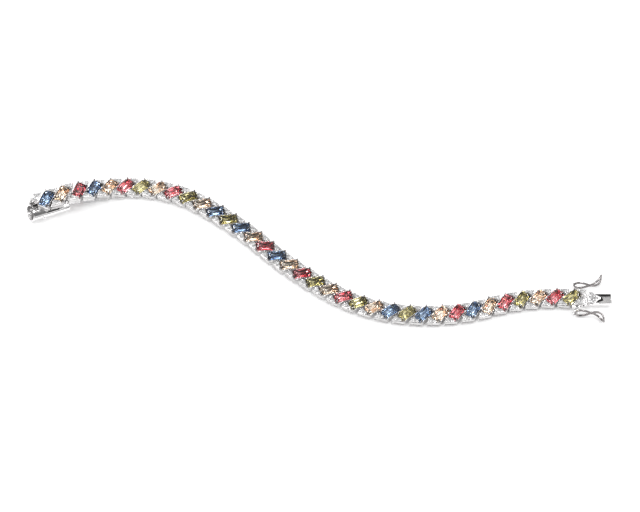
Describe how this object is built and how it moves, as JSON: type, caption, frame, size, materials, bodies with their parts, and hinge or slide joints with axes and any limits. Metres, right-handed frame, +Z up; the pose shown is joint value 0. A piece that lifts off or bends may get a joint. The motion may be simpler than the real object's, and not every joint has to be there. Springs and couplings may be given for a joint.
{
  "type": "gemstone tennis bracelet",
  "caption": "Open tennis bracelet lying in an S: slanted step-cut coloured stones in silver links, box clasp, tongue and side safety catches.",
  "frame": {"origin": "on the surface that the bracelet lies on, under the middle of its overall box", "axes": "+X along the bracelet from the box clasp to the tongue, +Y to the far side, +Z up, away from the surface"},
  "size_m": [0.1732, 0.0524, 0.0066],
  "materials": {
    "silver": "polished rhodium-plated silver",
    "blue_stone": "faceted, polished",
    "peach_stone": "faceted, polished",
    "red_stone": "faceted, polished",
    "green_stone": "faceted, polished",
    "clear_stone": "faceted, polished; the small round stones, which the render alone shows"
  },
  "bodies": {
    "chain": {"stone_01": "blue_stone", "stone_02": "peach_stone", "stone_03": "red_stone", "stone_04": "blue_stone", "stone_05": "peach_stone", "stone_06": "red_stone", "stone_07": "green_stone", "stone_08": "peach_stone", "stone_09": "red_stone", "stone_10": "green_stone", "stone_11": "peach_stone", "stone_12": "blue_stone", "stone_13": "green_stone", "stone_14": "blue_stone", "stone_15": "peach_stone", "stone_16": "red_stone", "stone_17": "blue_stone", "stone_18": "peach_stone", "stone_19": "red_stone", "stone_20": "green_stone", "stone_21": "peach_stone", "stone_22": "red_stone", "stone_23": "green_stone", "stone_24": "peach_stone", "stone_25": "blue_stone", "stone_26": "green_stone", "stone_27": "blue_stone", "stone_28": "peach_stone", "stone_29": "red_stone", "stone_30": "blue_stone", "stone_31": "peach_stone", "stone_32": "red_stone", "stone_33": "green_stone", "stone_34": "peach_stone", "stone_35": "red_stone", "stone_36": "green_stone", "clasp_box": "silver", "chain_run_1": "silver", "chain_run_2": "silver", "chain_run_3": "silver", "chain_run_4": "silver", "chain_run_5": "silver", "chain_run_6": "silver"},
    "tongue": {"clasp_tongue": "silver"},
    "front_catch": {"catch_front": "silver"},
    "back_catch": {"catch_back": "silver"}
  },
  "joints": [
    {"name": "tongue_hinge", "type": "hinge", "parent": "chain", "child": "tongue", "pos_m": [0.07881, -0.01734, 0.001], "axis": [0, -1, 0], "range_deg": [0, 50]},
    {"name": "front_catch_hinge", "type": "hinge", "parent": "chain", "child": "front_catch", "pos_m": [0.07576, -0.02224, 0.00165], "axis": [0, 0, -1], "range_deg": [-25, 80]},
    {"name": "back_catch_hinge", "type": "hinge", "parent": "chain", "child": "back_catch", "pos_m": [0.07576, -0.01244, 0.00165], "axis": [0, 0, 1], "range_deg": [-25, 80]}
  ]
}
